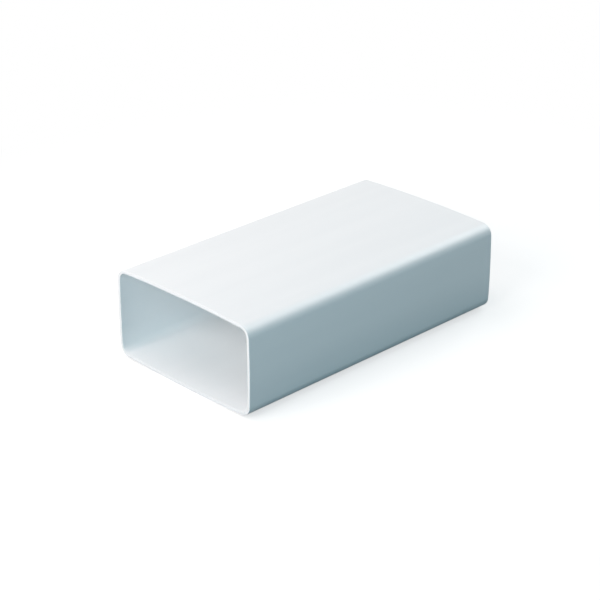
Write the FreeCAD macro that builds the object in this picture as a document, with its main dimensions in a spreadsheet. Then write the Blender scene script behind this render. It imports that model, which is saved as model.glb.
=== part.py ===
"""Flat channel duct: a white plastic ventilation tube of flat rectangular section, sawn to length.

One extruded piece. X runs across the width, Y along the length and Z up. The origin is on the floor under
the middle of the duct, where its bowed underside rests.
"""
import FreeCAD, Part
import math
import os

import Sketcher

# Driving dimensions in millimetres
DIMENSIONS = {
    # Length that the stock is sawn to
    "length": 200.0,
    # Outside of the nominal rectangle, which the rounded corners touch and the walls bow out of
    "width": 110.0,
    "height": 55.0,
    "wall": 1.8,
    "corner_radius": 7.0,
    # How far the middle of each wide and each narrow wall stands out of the nominal rectangle
    "wide_bow": 1.1,
    "narrow_bow": 0.35,
    # Chamfer that scraping leaves on the sawn edges
    "edge_break": 0.2,
}

# Where a constraint takes hold of a curve or a point, counted from 1, and the sketch's own origin
START, END, CENTRE = range(1, 4)
ORIGIN_POINT = (-1, START)

doc = FreeCAD.newDocument("flat_channel_duct")
sizes = doc.addObject("Spreadsheet::Sheet", "Sizes")
for row, (alias, value) in enumerate(DIMENSIONS.items(), start=1):
    sizes.set(f"A{row}", alias)
    sizes.set(f"B{row}", str(value))
    sizes.setAlias(f"B{row}", alias)
doc.recompute()


def reach(half_span, bow):
    """Distance from the centre of a bowed wall's arc to the centres of the corner arcs at its ends.

    The corner centres lie half_span to either side of the wall's middle, which stands out of the nominal
    rectangle by the bow, and the wall runs tangent into both corners.
    """
    return (half_span ** 2 + bow ** 2) / (2 * bow)


def add_arc(sketch, x, z, radius, first_angle, last_angle):
    """Add an arc about (x, z) to the sketch, anticlockwise between two angles, and return its number."""
    circle = Part.Circle(FreeCAD.Vector(x, z, 0), FreeCAD.Vector(0, 0, 1), radius)
    return sketch.addGeometry(Part.ArcOfCircle(circle, first_angle, last_angle), False)


def tie(sketch, kind, *where):
    """Add a constraint to the sketch and return its number."""
    return sketch.addConstraint(Sketcher.Constraint(kind, *where))


def add_dimension(sketch, name, kind, where, value, expression):
    """Add a named dimension to the sketch and bind it to the sheet."""
    index = tie(sketch, kind, *where, value)
    sketch.renameConstraint(index, name)
    sketch.setExpression(f"Constraints.{name}", expression)


def draw_ring(sketch, name, depth, inset):
    """Draw one closed outline of the section and constrain it fully.

    Four bowed walls alternate with four corner arcs, each tangent to the next. depth is how far the outline
    lies inside the duct's outer one, and inset is the expression for it. All outlines have the same corner
    centres, so the wall between two of them is equally thick all the way round.
    """
    radius = sizes.corner_radius - depth
    corner_x = sizes.width / 2 - sizes.corner_radius
    corner_z = sizes.height / 2 - sizes.corner_radius
    narrow_reach = reach(corner_z, sizes.narrow_bow)
    wide_reach = reach(corner_x, sizes.wide_bow)
    narrow_centre = corner_x + sizes.narrow_bow - narrow_reach
    wide_centre = corner_z + sizes.wide_bow - wide_reach
    narrow_turn = math.asin(corner_z / narrow_reach)
    wide_turn = math.asin(corner_x / wide_reach)

    # Right, top, left and bottom wall: centre, reach, and half of the angle that the wall turns through.
    # Each wall is followed by the corner that it runs into.
    wall_arcs = [
        (narrow_centre, 0, narrow_reach, narrow_turn),
        (0, wide_centre, wide_reach, wide_turn),
        (-narrow_centre, 0, narrow_reach, narrow_turn),
        (0, -wide_centre, wide_reach, wide_turn),
    ]
    corner_signs = [(1, 1), (-1, 1), (-1, -1), (1, -1)]
    quarter_turn = math.pi / 2
    walls = []
    corners = []
    for quarter, (x, z, wall_reach, half_turn) in enumerate(wall_arcs):
        facing = quarter * quarter_turn
        walls.append(add_arc(sketch, x, z, radius + wall_reach, facing - half_turn, facing + half_turn))
        sign_x, sign_z = corner_signs[quarter]
        next_half_turn = wall_arcs[(quarter + 1) % len(wall_arcs)][-1]
        corners.append(add_arc(sketch, sign_x * corner_x, sign_z * corner_z, radius,
                               facing + half_turn, facing + quarter_turn - next_half_turn))
    for wall, corner, next_wall in zip(walls, corners, walls[1:] + walls[:1]):
        tie(sketch, "Tangent", wall, END, corner, START)
        tie(sketch, "Tangent", corner, END, next_wall, START)

    # One corner is dimensioned, and the others line up with it
    first, second, third, fourth = corners
    add_dimension(sketch, f"{name}_corner_radius", "Radius", (first,), radius,
                  f"Sizes.corner_radius - {inset}")
    add_dimension(sketch, f"{name}_corner_x", "DistanceX", (*ORIGIN_POINT, first, CENTRE), corner_x,
                  "Sizes.width / 2 - Sizes.corner_radius")
    add_dimension(sketch, f"{name}_corner_z", "DistanceY", (*ORIGIN_POINT, first, CENTRE), corner_z,
                  "Sizes.height / 2 - Sizes.corner_radius")
    tie(sketch, "Symmetric", first, CENTRE, third, CENTRE, *ORIGIN_POINT)
    for corner, same_column, same_row in [(first, fourth, second), (third, second, fourth)]:
        tie(sketch, "Vertical", corner, CENTRE, same_column, CENTRE)
        tie(sketch, "Horizontal", corner, CENTRE, same_row, CENTRE)
    for corner in (second, third, fourth):
        tie(sketch, "Equal", first, corner)

    # The right and top walls are dimensioned at the top of their bow, and the walls opposite are equal
    right, top, left, bottom = walls
    right_x = sizes.width / 2 + sizes.narrow_bow - depth
    top_z = sizes.height / 2 + sizes.wide_bow - depth
    crowns = [
        (right, left, "Horizontal", "DistanceX", (right_x, 0), right_x, "width", "narrow_bow"),
        (top, bottom, "Vertical", "DistanceY", (0, top_z), top_z, "height", "wide_bow"),
    ]
    for wall, opposite, direction, kind, (x, z), distance, side, bow in crowns:
        crown = sketch.addGeometry(Part.Point(FreeCAD.Vector(x, z, 0)), True)
        tie(sketch, "PointOnObject", crown, START, wall)
        tie(sketch, direction, *ORIGIN_POINT, crown, START)
        add_dimension(sketch, f"{name}_half_{side}", kind, (*ORIGIN_POINT, crown, START), distance,
                      f"Sizes.{side} / 2 + Sizes.{bow} - {inset}")
        tie(sketch, "Equal", wall, opposite)


# The duct: the section that the die gives it, drawn out along Y and stood on the floor
duct = doc.addObject("PartDesign::Body", "Duct")
duct.Label = "duct_channel"
duct.setExpression("Placement.Base.z", "Sizes.height / 2 + Sizes.wide_bow")

section = duct.newObject("Sketcher::SketchObject", "Section")
cross_plane = next(plane for plane in duct.Origin.OriginFeatures if plane.Role == "XZ_Plane")
section.AttachmentSupport = (cross_plane, [""])
section.MapMode = "FlatFace"
draw_ring(section, "outside", 0, "0")
draw_ring(section, "airway", sizes.wall, "Sizes.wall")

extrusion = duct.newObject("PartDesign::Pad", "Extrusion")
extrusion.Profile = section
extrusion.SideType = "Symmetric"
extrusion.setExpression("Length", "Sizes.length")
doc.recompute()

# The sawn ends are the duct's only flat faces
sawn_ends = [f"Face{number}" for number, face in enumerate(extrusion.Shape.Faces, start=1)
             if isinstance(face.Surface, Part.Plane)]
scraped_edges = duct.newObject("PartDesign::Chamfer", "ScrapedEdges")
scraped_edges.Base = (extrusion, sawn_ends)
scraped_edges.setExpression("Size", "Sizes.edge_break")
doc.recompute()

failed = [item.Name for item in doc.Objects if {"Invalid", "Error"} & set(item.State)]
if failed:
    raise RuntimeError(f"Failed to build: {failed}")
if duct.Shape.isNull() or not duct.Shape.isValid():
    raise RuntimeError(f"{duct.Label} has no valid shape")

os.makedirs("parts", exist_ok=True)
duct.Shape.exportStep(f"parts/{duct.Label}.step")
box = duct.Shape.BoundBox
print(f"{duct.Label}: {box.XLength:.2f} x {box.YLength:.2f} x {box.ZLength:.2f} mm, "
      f"{duct.Shape.Volume / 1000:.2f} cm3, {len(duct.Shape.Solids)} solid")
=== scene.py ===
# %% [markdown]
# # A flat channel duct
# The object is a short length of white plastic ventilation channel: one extruded tube of flat
# rectangular section, sawn off square at both ends. It has no other pieces, so everything that makes it
# look real is in one skin: rounded corners, walls that bow out a little, a thin sawn rim, and a satin
# surface.
#
# The imported CAD model comes first. It is the fixed frame, in metres: X runs across the duct, Y along it
# and Z up, with the floor at zero. Its box is kept, and gives the duct's size.

# %% Load the frame
import bpy
import math
import numpy as np
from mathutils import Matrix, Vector


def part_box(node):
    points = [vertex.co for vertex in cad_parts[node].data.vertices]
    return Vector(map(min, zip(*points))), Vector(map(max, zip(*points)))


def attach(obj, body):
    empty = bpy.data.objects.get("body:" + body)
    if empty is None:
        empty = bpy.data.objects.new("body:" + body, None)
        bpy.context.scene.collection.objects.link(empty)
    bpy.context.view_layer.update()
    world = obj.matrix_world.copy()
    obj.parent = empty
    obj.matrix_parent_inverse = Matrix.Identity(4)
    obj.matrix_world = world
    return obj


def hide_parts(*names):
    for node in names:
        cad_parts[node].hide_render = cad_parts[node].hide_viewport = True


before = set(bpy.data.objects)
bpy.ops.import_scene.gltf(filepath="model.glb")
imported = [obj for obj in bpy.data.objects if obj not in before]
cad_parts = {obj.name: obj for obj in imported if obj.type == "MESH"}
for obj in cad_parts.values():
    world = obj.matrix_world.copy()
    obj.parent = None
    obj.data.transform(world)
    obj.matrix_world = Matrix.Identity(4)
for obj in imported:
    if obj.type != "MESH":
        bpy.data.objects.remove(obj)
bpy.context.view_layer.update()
low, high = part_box("duct_channel")
outside_width, length, outside_height = high - low
middle_height = (low.z + high.z) / 2
print(f"CAD duct: {outside_width:.4f} m wide, {length:.4f} m long and {outside_height:.4f} m high")

# %% [markdown]
# ## The section
# The die gives the tube its section: four walls, each bowed out by about a millimetre at most, and four
# rounded corners that they run into. A rectangle with a bevel would have dead flat walls, and the bow
# is what keeps the light moving across them. So the outline is worked out as eight arcs, each tangent
# to the next.
#
# Every point is kept as its arc's centre, radius and outward direction. Moving a point inwards then
# only means a shorter radius, and the inside of the tube runs truly parallel to the outside.

# %% Outline of the section
CORNER_RADIUS = 0.007
WIDE_BOW = 0.0011
NARROW_BOW = 0.00035
CORNER_STEPS = 20
WIDE_STEPS = 48
NARROW_STEPS = 24

corner_x = outside_width / 2 - NARROW_BOW - CORNER_RADIUS
corner_z = outside_height / 2 - WIDE_BOW - CORNER_RADIUS


def bowed_wall(half_span, bow):
    """Reach and half turn of a wall's arc that runs tangent into a corner at each end.

    The corner centres lie half_span to either side of the wall's middle. The reach, from the wall's
    centre to a corner's, is half_span squared plus the bow squared, over twice the bow. The half turn
    is the angle whose sine is half_span over the reach.
    """
    reach = (half_span ** 2 + bow ** 2) / (2 * bow)
    return reach, math.asin(half_span / reach)


def section_outline():
    """Arrays of centre x, centre z, radius and outward angle, once round the section, anticlockwise.

    Each quarter of the outline is a wall and the corner after it. A point of the outline is its centre
    plus its radius along the direction (cosine, sine) of its angle.
    """
    narrow_reach, narrow_turn = bowed_wall(corner_z, NARROW_BOW)
    wide_reach, wide_turn = bowed_wall(corner_x, WIDE_BOW)
    narrow_centre = corner_x + NARROW_BOW - narrow_reach
    wide_centre = corner_z + WIDE_BOW - wide_reach
    columns = []
    for quarter, (sign_x, sign_z) in enumerate([(1, 1), (-1, 1), (-1, -1), (1, -1)]):
        facing = quarter * math.pi / 2
        upright = quarter % 2 == 0
        turn, next_turn = (narrow_turn, wide_turn) if upright else (wide_turn, narrow_turn)
        wall_x = sign_x * narrow_centre if upright else 0
        wall_z = 0 if upright else sign_z * wide_centre
        wall_radius = CORNER_RADIUS + (narrow_reach if upright else wide_reach)
        arcs = [
            (wall_x, wall_z, wall_radius, -turn, turn, NARROW_STEPS if upright else WIDE_STEPS),
            (sign_x * corner_x, sign_z * corner_z, CORNER_RADIUS,
             turn, math.pi / 2 - next_turn, CORNER_STEPS),
        ]
        for centre_x, centre_z, radius, start, end, steps in arcs:
            angle = facing + np.linspace(start, end, steps, endpoint=False)
            columns.append(np.stack(np.broadcast_arrays(centre_x, centre_z, radius, angle)))
    return np.concatenate(columns, axis=1)


outline = section_outline()
print(f"Section: {outline.shape[1]} points round the outline")

# %% [markdown]
# ## The wall
# Cut the duct along its length and each wall shows as a long thin strip: a line along the outside, a
# short rim, a line back along the inside and the other rim. The saw leaves sharp edges, and a scraper
# takes them off by hand, so the rounding of the edges comes and goes a little from place to place.
#
# The strip's outline is the second parameter of the skin. Each of its points is linear in the size of
# the rounding, so the rounding can still change round the section after the strip is laid out. Points
# crowd together near the edges, which keeps the shading of the long faces flat right up to them.

# %% Profile of the wall
WALL = 0.0018
EDGE_ROUND = 0.0002
EDGE_STEPS = 5
RIM_STEPS = 4
LENGTH_STEPS = 40
END_MARGINS = np.array([0.0004, 0.0012, 0.003])
OUTSIDE, INSIDE, RIM = range(3)


def wall_profile():
    """Rows of fixed depth, depth per rounding, fixed place along Y, Y per rounding, and kind of face.

    Going round the strip: the outside from front to back, the back rim, the inside from back to front,
    and the front rim. Where a share u runs from one end to the other, a stretch between two roundings
    starts one rounding late and stops one early, so its point is u of the full stretch plus (1 - 2u)
    roundings. A rounded edge is a quarter circle: the point at angle a lies (1 - cos a) roundings from
    one face and (1 - sin a) from the other.
    """
    margins = END_MARGINS / length
    even_steps = np.linspace(0, 1, LENGTH_STEPS + 1)[1:-1]
    along = np.concatenate([[0], margins, even_steps, 1 - margins[::-1], [1]])
    across = np.linspace(0, 1, RIM_STEPS + 1)
    angle = np.linspace(0, math.pi / 2, EDGE_STEPS + 1)[1:-1]
    from_side, from_end = 1 - np.cos(angle), 1 - np.sin(angle)

    def stretch(depth, depth_rounding, place, place_rounding, kind):
        """One stretch of the strip, with a single value repeated for all of its points."""
        return np.stack(np.broadcast_arrays(depth, depth_rounding, place, place_rounding, kind))

    half = length / 2
    outside = stretch(0, 0, (along - 0.5) * length, 1 - 2 * along, OUTSIDE)
    back_outer = stretch(0, from_side, half, -from_end, RIM)
    back_rim = stretch(across * WALL, 1 - 2 * across, half, 0, RIM)
    back_inner = stretch(WALL, -from_side[::-1], half, -from_end[::-1], RIM)
    inside = stretch(WALL, 0, (0.5 - along) * length, 2 * along - 1, INSIDE)
    front_inner = stretch(WALL, -from_side, -half, from_end, RIM)
    front_rim = stretch((1 - across) * WALL, 2 * across - 1, -half, 0, RIM)
    front_outer = stretch(0, from_side[::-1], -half, from_end[::-1], RIM)
    return np.concatenate([outside, back_outer, back_rim, back_inner,
                           inside, front_inner, front_rim, front_outer], axis=1)


profile = wall_profile()
print(f"Wall: {profile.shape[1]} points round the strip")

# %% [markdown]
# ## The skin's points
# Carrying the strip round the section gives the whole duct as one grid that closes on itself both ways,
# like the grid of a ring. There is no seam, no pole and no cap to patch, and one array expression makes
# all of it. A tube with a Solidify modifier would be quicker to write, but its edges would all be the
# same.

# %% Points of the skin
SCRAPE_UNEVENNESS = 0.35
# Whole periods round the section, and the share of a period at which each wave starts
SCRAPE_WAVES = [(3, 0.2), (7, 0.6), (16, 0.35)]


def scraped_rounding(turn):
    """Rounding of the sawn edges at each share of a turn round the section.

    The mean of a few sine waves makes it uneven. Each has a whole number of periods, so that the
    rounding closes after one turn.
    """
    waves = [np.sin(2 * np.pi * (periods * turn + start)) for periods, start in SCRAPE_WAVES]
    return EDGE_ROUND * (1 + SCRAPE_UNEVENNESS * np.mean(waves, axis=0))


def skin_points():
    """Points of the skin on a grid of (round the section, round the strip).

    A point is its arc's centre plus the arc's radius less the depth, along the outward direction, at
    its place along Y.
    """
    centre_x, centre_z, radius, angle = outline[:, :, None]
    depth_fixed, depth_rounding, place_fixed, place_rounding, _ = profile[:, None, :]
    rounding = scraped_rounding(np.linspace(0, 1, outline.shape[1], endpoint=False))[:, None]
    depth = depth_fixed + depth_rounding * rounding
    x = centre_x + (radius - depth) * np.cos(angle)
    y = place_fixed + place_rounding * rounding
    z = centre_z + (radius - depth) * np.sin(angle) + middle_height
    return np.stack(np.broadcast_arrays(x, y, z), axis=-1)


points = skin_points()
print(f"Skin: a grid of {points.shape[0]} by {points.shape[1]} points")

# %% [markdown]
# ## The skin's mesh
# A mesh wants a plain list of points, and for each face the numbers of its corners. Both come straight
# from the grid, so no tool has to guess what is joined to what. The new mesh then stands for the CAD
# tube, which has the same shape but coarser facets.

# %% Mesh of the skin
def closed_grid(rows, columns):
    """Corner numbers of the quads of a grid of points that closes on itself both ways.

    A quad goes from a point to the next column, on to the next row, and back, so that its face looks
    out of the plastic.
    """
    row, column = np.meshgrid(np.arange(rows), np.arange(columns), indexing="ij")
    next_row, next_column = (row + 1) % rows, (column + 1) % columns
    corners = [row * columns + column, row * columns + next_column,
               next_row * columns + next_column, next_row * columns + column]
    return np.stack(corners, axis=-1).reshape(-1, 4)


quads = closed_grid(*points.shape[:2])
skin_mesh = bpy.data.meshes.new("duct_skin")
skin_mesh.from_pydata(points.reshape(-1, 3), [], quads)
skin_mesh.polygons.foreach_set("use_smooth", np.ones(len(quads), dtype=bool))
skin_mesh.validate()
skin = bpy.data.objects.new("duct_skin", skin_mesh)
bpy.context.scene.collection.objects.link(skin)
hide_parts("duct_channel")
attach(skin, "root")
print(f"Skin: {len(quads)} quads")

# %% [markdown]
# ## The marks of die and saw
# The die leaves faint lines that run the whole length of the duct, and the saw leaves fine scratches
# across the rims. A picture of them would have to be wrapped round the tube, and would break at some
# edge. Noise on the object's own coordinates follows the duct from wall to wall: stretched more than a
# hundred times along Y it becomes die lines, and squeezed in one direction on the rim it becomes saw
# scratches.

# %% Marks of die and saw
# Marks to the metre along each axis
DIE_LINES = (700, 5, 700)
BROAD_STREAKS = (60, 3, 60)
SAW_SCRATCHES = (350, 350, 2600)
SAW_TURN = math.radians(28)
NOISE_DETAIL = 3
NOISE_MIDDLE = (0.3, 0.7)


def stretched_noise(tree, scale, turn):
    """Noise on the object's coordinates, with its own scale along each axis, turned about Y."""
    place = tree.nodes.new("ShaderNodeTexCoord")
    mapping = tree.nodes.new("ShaderNodeMapping")
    mapping.inputs["Rotation"].default_value = (0, turn, 0)
    mapping.inputs["Scale"].default_value = scale
    noise = tree.nodes.new("ShaderNodeTexNoise")
    noise.inputs["Scale"].default_value = 1
    noise.inputs["Detail"].default_value = NOISE_DETAIL
    tree.links.new(place.outputs["Object"], mapping.inputs["Vector"])
    tree.links.new(mapping.outputs["Vector"], noise.inputs["Vector"])
    return noise.outputs["Fac"]


def spread(tree, value, results):
    """The middle of a noise's range spread out between two results."""
    spread_node = tree.nodes.new("ShaderNodeMapRange")
    for name, amount in zip(("From Min", "From Max", "To Min", "To Max"), (*NOISE_MIDDLE, *results)):
        spread_node.inputs[name].default_value = amount
    tree.links.new(value, spread_node.inputs["Value"])
    return spread_node.outputs["Result"]


print(f"Die lines: about {1000 / DIE_LINES[0]:.1f} mm wide and {1000 / DIE_LINES[1]:.0f} mm long")

# %% [markdown]
# ## The plastic
# Hard white PVC is satin where the die and the cooling sleeve have smoothed it. Inside, where nothing
# touches the hot plastic, it stays a little duller, and the sawn rims are duller still. The inside's
# white is also painted a little lighter and bluer than the outside's. This is painted light: lighter for
# the light that comes through the thin walls, and bluer for a cool light inside. The rims' white is
# painted darker, as painted shade for the small shadows of the saw scratches. One flat white would look
# like paper, so the fine marks are relief, and broader streaks change the colour and the gloss a little.
# All three finishes are made alike and differ only in their numbers, so one function makes them.

# %% Finishes of the plastic
PVC_IOR = 1.53
DIE_LINE_HEIGHT = 0.000006
SCRATCH_HEIGHT = 0.00002
FINISHES = {
    # In the order of the kinds of face, by name: marks and their height in metres, streaks, the turn of
    # both about Y, two colours and two values of roughness
    "extruded_outside": (DIE_LINES, DIE_LINE_HEIGHT, BROAD_STREAKS, 0,
                         ((0.835, 0.842, 0.85, 1), (0.86, 0.865, 0.87, 1)), (0.36, 0.42)),
    # Painted light: a lighter, bluer white than outside, for light through the thin walls and cool light
    "extruded_inside_painted_light": (DIE_LINES, DIE_LINE_HEIGHT, BROAD_STREAKS, 0,
                        ((0.88, 0.898, 0.908, 1), (0.9, 0.917, 0.926, 1)), (0.42, 0.5)),
    # Painted shade: a darker white than the faces, for the small shadows of the saw scratches
    "sawn_rim_painted_shade": (SAW_SCRATCHES, SCRATCH_HEIGHT, SAW_SCRATCHES, SAW_TURN,
                 ((0.75, 0.754, 0.76, 1), (0.8, 0.802, 0.806, 1)), (0.5, 0.65)),
}


def mixed_colour(tree, share, colours):
    """The first colour where the share is 0, the second where it is 1, and a mix of them in between."""
    mix = tree.nodes.new("ShaderNodeMix")
    mix.data_type = "RGBA"
    mix.inputs["A"].default_value, mix.inputs["B"].default_value = colours
    tree.links.new(share, mix.inputs["Factor"])
    return mix.outputs["Result"]


def white_plastic(name, marks, mark_height, streaks, turn, colours, roughness):
    """White plastic with fine marks as relief, and with broad streaks in its colour and its gloss."""
    material = bpy.data.materials.new(name)
    material.use_nodes = True
    tree = material.node_tree
    shader = tree.nodes["Principled BSDF"]
    shader.inputs["IOR"].default_value = PVC_IOR
    streak = stretched_noise(tree, streaks, turn)
    tree.links.new(mixed_colour(tree, spread(tree, streak, (0, 1)), colours), shader.inputs["Base Color"])
    tree.links.new(spread(tree, streak, roughness), shader.inputs["Roughness"])
    bump = tree.nodes.new("ShaderNodeBump")
    bump.inputs["Distance"].default_value = mark_height
    tree.links.new(stretched_noise(tree, marks, turn), bump.inputs["Height"])
    tree.links.new(bump.outputs["Normal"], shader.inputs["Normal"])
    return material


for name, settings in FINISHES.items():
    skin_mesh.materials.append(white_plastic(name, *settings))
print("Finishes:", list(FINISHES))

# %% [markdown]
# ## The finish of each face
# Faces could be picked by their direction, but on a rounded edge that changes from one to the next. The
# strip already says what kind of face each of its points is on, and a quad between two kinds is part
# of the rim. So the strip's numbers are repeated for every step round the section.

# %% Finish of each face
face_kinds = np.maximum(profile[-1], np.roll(profile[-1], -1)).astype(np.int32)
face_kinds = np.tile(face_kinds, outline.shape[1])
skin_mesh.polygons.foreach_set("material_index", face_kinds)
print("Quads of each finish:", dict(zip(FINISHES, np.bincount(face_kinds).tolist())))

# %% [markdown]
# ## The floor
# The duct lies on a plain white surface that runs out of sight. A square would look wider from some
# sides than from others, so the surface is a disc, far wider than any view of the duct.

# %% Floor
FLOOR_RADIUS = 4.0
FLOOR_STEPS = 96

floor_angle = np.linspace(0, 2 * np.pi, FLOOR_STEPS, endpoint=False)
floor_rim = FLOOR_RADIUS * np.stack([np.cos(floor_angle), np.sin(floor_angle), 0 * floor_angle], axis=-1)
floor_mesh = bpy.data.meshes.new("floor")
floor_mesh.from_pydata(floor_rim, [], [np.arange(len(floor_rim))])
floor = bpy.data.objects.new("floor", floor_mesh)
bpy.context.scene.collection.objects.link(floor)
print(f"Floor: a disc of {FLOOR_RADIUS} m radius")

# %% [markdown]
# ## What looks at the floor
# Some rays show the floor: those straight from the camera, and those that reach it by gloss or through
# glass. The others only carry its light on to the duct, and a bright white floor would send up so much
# that the walls would lose their shading. Telling the rays apart lets it look white and shine back
# grey.

# %% Rays that see the floor
def joined(tree, operation, *values):
    """A math node that joins two values, each of them a socket or a plain number."""
    node = tree.nodes.new("ShaderNodeMath")
    node.operation = operation
    for socket, value in zip(node.inputs, values):
        if isinstance(value, (int, float)):
            socket.default_value = value
        else:
            tree.links.new(value, socket)
    return node.outputs[0]


def ray_kinds(tree):
    """Sockets that are 1 for rays from the camera, and 1 for rays that come by gloss or through glass."""
    kinds = tree.nodes.new("ShaderNodeLightPath").outputs
    mirrored = joined(tree, "MAXIMUM", kinds["Is Glossy Ray"], kinds["Is Transmission Ray"])
    return kinds["Is Camera Ray"], mirrored


floor_finish = bpy.data.materials.new("floor_white")
floor_finish.use_nodes = True
floor_tree = floor_finish.node_tree
floor_tree.nodes.clear()
camera_ray, mirrored_ray = ray_kinds(floor_tree)
seen = joined(floor_tree, "MAXIMUM", camera_ray, mirrored_ray)
floor_mesh.materials.append(floor_finish)
print(f"Floor: {len(floor_tree.nodes)} nodes tell its rays apart")

# %% [markdown]
# ## How far the duct is
# Only the floor near the duct has to take its shadow. A gradient round the middle would cut the shadow
# short at the ends of so long a thing, so the distance is measured from the rectangle that the duct
# covers.

# %% Distance from the duct
# Reach of a painted contact shadow: near the duct the floor's glow fades out of the duct's gloss
PAINTED_CONTACT_SHADOW_REACH = (0.0, 0.05)
SHADOW_REACH = (0.12, 0.32)


def beyond_duct(tree):
    """Distance of a point of the floor from the rectangle that the duct covers.

    The absolute values of x and y less half of the duct's width and length are how far the point lies
    outside along each axis, or nothing where they are negative. The distance is the length of what is
    left.
    """
    steps = [
        ("ABSOLUTE", None),
        ("SUBTRACT", (high.x, high.y, 0)),
        ("MAXIMUM", (0, 0, 0)),
        ("LENGTH", None),
    ]
    value = tree.nodes.new("ShaderNodeTexCoord").outputs["Object"]
    for operation, amount in steps:
        step = tree.nodes.new("ShaderNodeVectorMath")
        step.operation = operation
        tree.links.new(value, step.inputs[0])
        if amount:
            step.inputs[1].default_value = amount
        value = step.outputs["Value" if operation == "LENGTH" else "Vector"]
    return value


def rise(tree, distance, reach):
    """A smooth rise from 0 to 1 while the distance goes through the reach."""
    node = tree.nodes.new("ShaderNodeMapRange")
    node.interpolation_type = "SMOOTHSTEP"
    node.inputs["From Min"].default_value, node.inputs["From Max"].default_value = reach
    tree.links.new(distance, node.inputs["Value"])
    return node.outputs["Result"]


duct_distance = beyond_duct(floor_tree)
clear_of_painted_contact_shadow = rise(floor_tree, duct_distance, PAINTED_CONTACT_SHADOW_REACH)
clear_of_shadow = rise(floor_tree, duct_distance, SHADOW_REACH)
print(f"Floor: no shadow from {SHADOW_REACH[1]} m beyond the duct")

# %% [markdown]
# ## The floor's finish
# Near the duct the floor is like a sheet of white plastic lit from below. It glows a little, so that
# the duct's shadow on it stays pale, and the rest of its white comes from the lamps. Further out it
# turns into plain white for the eye, so no horizon shows. A floor that is only matt would need brighter
# lamps to look white, and they would burn out the duct. Where the two touch, the glow fades out of the
# duct's gloss within 5 cm. This is a painted contact shadow in the reflections, and it keeps the foot
# of the duct dark.

# %% Finish of the floor
FLOOR_MATT = (0.45, 0.45, 0.45, 1)
FLOOR_BOUNCE = (0.22, 0.24, 0.25, 1)
FLOOR_GLOW = 0.64


def mixed_shader(tree, share, first, second):
    """The first shader where the share is 0, the second where it is 1, and a mix of them in between."""
    mix = tree.nodes.new("ShaderNodeMixShader")
    for socket, value in zip(mix.inputs, (share, first, second)):
        tree.links.new(value, socket)
    return mix.outputs["Shader"]


matt = floor_tree.nodes.new("ShaderNodeBsdfDiffuse")
floor_tree.links.new(mixed_colour(floor_tree, seen, (FLOOR_BOUNCE, FLOOR_MATT)), matt.inputs["Color"])
# Painted contact shadow: in gloss, the floor's glow is gone right at the duct
mirrored_glow = joined(floor_tree, "MULTIPLY", mirrored_ray, clear_of_painted_contact_shadow)
glowing = joined(floor_tree, "MAXIMUM", camera_ray, mirrored_glow)
glow = floor_tree.nodes.new("ShaderNodeEmission")
floor_tree.links.new(joined(floor_tree, "MULTIPLY", glowing, FLOOR_GLOW), glow.inputs["Strength"])
near = floor_tree.nodes.new("ShaderNodeAddShader")
floor_tree.links.new(matt.outputs["BSDF"], near.inputs[0])
floor_tree.links.new(glow.outputs["Emission"], near.inputs[1])
plain_white = floor_tree.nodes.new("ShaderNodeEmission")
seen_far_out = joined(floor_tree, "MULTIPLY", seen, clear_of_shadow)
floor_surface = mixed_shader(floor_tree, seen_far_out,
                             near.outputs["Shader"], plain_white.outputs["Emission"])
floor_output = floor_tree.nodes.new("ShaderNodeOutputMaterial")
floor_tree.links.new(floor_surface, floor_output.inputs["Surface"])
print(f"Floor: {len(floor_tree.nodes)} nodes in its finish")

# %% [markdown]
# ## The light
# A white thing on white shows its shape only by how bright each of its sides is. One lamp would do for
# one view, but it would leave the sides that face away dark. So five soft lamps stand round the duct,
# as in a studio: a high one for the top, a large one that looks into the open end, a weak blue one that
# gives the right wall its cool grey, and a pale one each for the left and the back.
#
# Seen from behind, the two lamps in front would glare on the top, so gloss doesn't show them. A sixth,
# the edge card, is the other way round: it lights nothing, and only shows in gloss, as a soft gleam
# along the upper right edge.

# %% Lamps
LAMPS = {
    # name: azimuth and elevation in degrees, distance and size in metres, power in watts, colour,
    # whether it lights the plastic, and whether it shows in the plastic's gloss
    "high_softbox": (-45, 67, 1.4, 0.9, 6.5, (1, 0.86, 0.84), True, True),
    "front_softbox": (0, 25, 1.4, 1.0, 18.4, (1, 0.92, 0.89), True, False),
    "cool_fill": (45, 15, 1.4, 1.0, 5.6, (0.41, 0.83, 1), True, False),
    "left_fill": (-90, 20, 1.4, 1.0, 5.0, (1, 1, 1), True, True),
    "back_fill": (180, 30, 1.4, 1.0, 8.2, (0.95, 1, 1), True, True),
    "edge_card": (153, 45, 1.4, 0.9, 6.0, (1, 1, 1), False, True),
}


def direction(azimuth, elevation):
    """Unit vector from the duct to a place at this azimuth, 0 in front of the open end, and elevation."""
    turn, climb = math.radians(azimuth), math.radians(elevation)
    return Vector((math.sin(turn) * math.cos(climb), -math.cos(turn) * math.cos(climb), math.sin(climb)))


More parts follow.
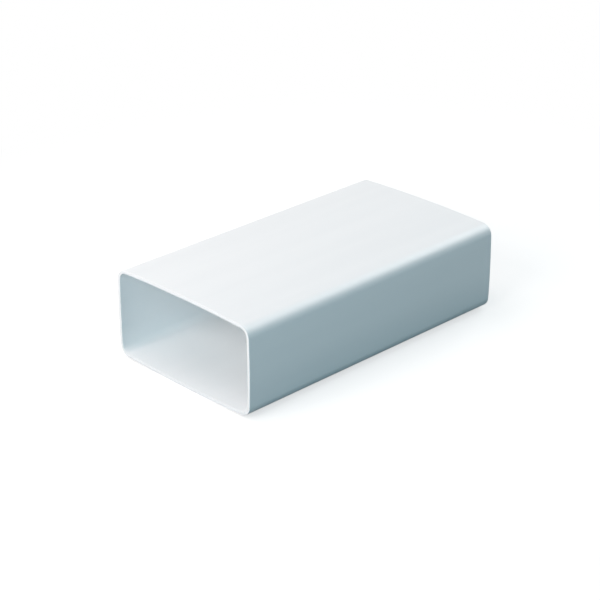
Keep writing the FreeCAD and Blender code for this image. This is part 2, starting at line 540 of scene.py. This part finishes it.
def add_lamp(name, azimuth, elevation, distance, size, power, colour, lights, mirrored):
    """A square soft light that looks at the middle of the duct.

    It lights matt surfaces only if lights is true, and shows in gloss only if mirrored is true.
    """
    lamp = bpy.data.lights.new(name, "AREA")
    lamp.shape = "SQUARE"
    lamp.size = size
    lamp.energy = power
    lamp.color = colour
    lamp_object = bpy.data.objects.new(name, lamp)
    away = direction(azimuth, elevation)
    lamp_object.location = Vector((0, 0, middle_height)) + away * distance
    lamp_object.rotation_euler = away.to_track_quat("Z", "Y").to_euler()
    lamp_object.visible_diffuse = lights
    lamp_object.visible_glossy = mirrored
    bpy.context.scene.collection.objects.link(lamp_object)


for name, settings in LAMPS.items():
    add_lamp(name, *settings)
print("Lamps:", list(LAMPS))

# %% [markdown]
# ## The room
# A dim cool room fills what the lamps leave. If the camera saw it, there would be a grey wall behind
# the white floor, so for the eye, for gloss and through glass it is plain white, like the floor.

# %% Room
ROOM_TINT = (0.07, 0.13, 0.15, 1)
PLAIN_WHITE = (1, 1, 1, 1)

world = bpy.data.worlds.new("room")
bpy.context.scene.world = world
world.use_nodes = True
room = world.node_tree
fill = room.nodes["Background"]
fill.inputs["Color"].default_value = ROOM_TINT
white = room.nodes.new("ShaderNodeBackground")
white.inputs["Color"].default_value = PLAIN_WHITE
room_seen = joined(room, "MAXIMUM", *ray_kinds(room))
room_surface = mixed_shader(room, room_seen, fill.outputs["Background"], white.outputs["Background"])
room.links.new(room_surface, room.nodes["World Output"].inputs["Surface"])
bpy.context.scene.view_settings.view_transform = "Standard"
print("Room: tint", ROOM_TINT)

# %% [markdown]
# ## The camera
# The duct is seen over its near right corner, from about 26 degrees up. Looking down makes upright
# edges lean together, and the more so from close by. So the camera stands a metre away, with a long
# lens.

# %% Camera
CAMERA_AZIMUTH = 45.6
CAMERA_ELEVATION = 25.5
CAMERA_DISTANCE = 1.087
CAMERA_AIM = Vector((-0.0018, -0.006, 0.0224))
CAMERA_LENS = 110

camera_data = bpy.data.cameras.new("camera")
camera_data.lens = CAMERA_LENS
camera = bpy.data.objects.new("camera", camera_data)
camera_away = direction(CAMERA_AZIMUTH, CAMERA_ELEVATION)
camera.location = CAMERA_AIM + camera_away * CAMERA_DISTANCE
camera.rotation_euler = camera_away.to_track_quat("Z", "Y").to_euler()
bpy.context.scene.collection.objects.link(camera)
bpy.context.scene.camera = camera
print(f"Camera: {CAMERA_LENS} mm lens, {CAMERA_DISTANCE} m away")
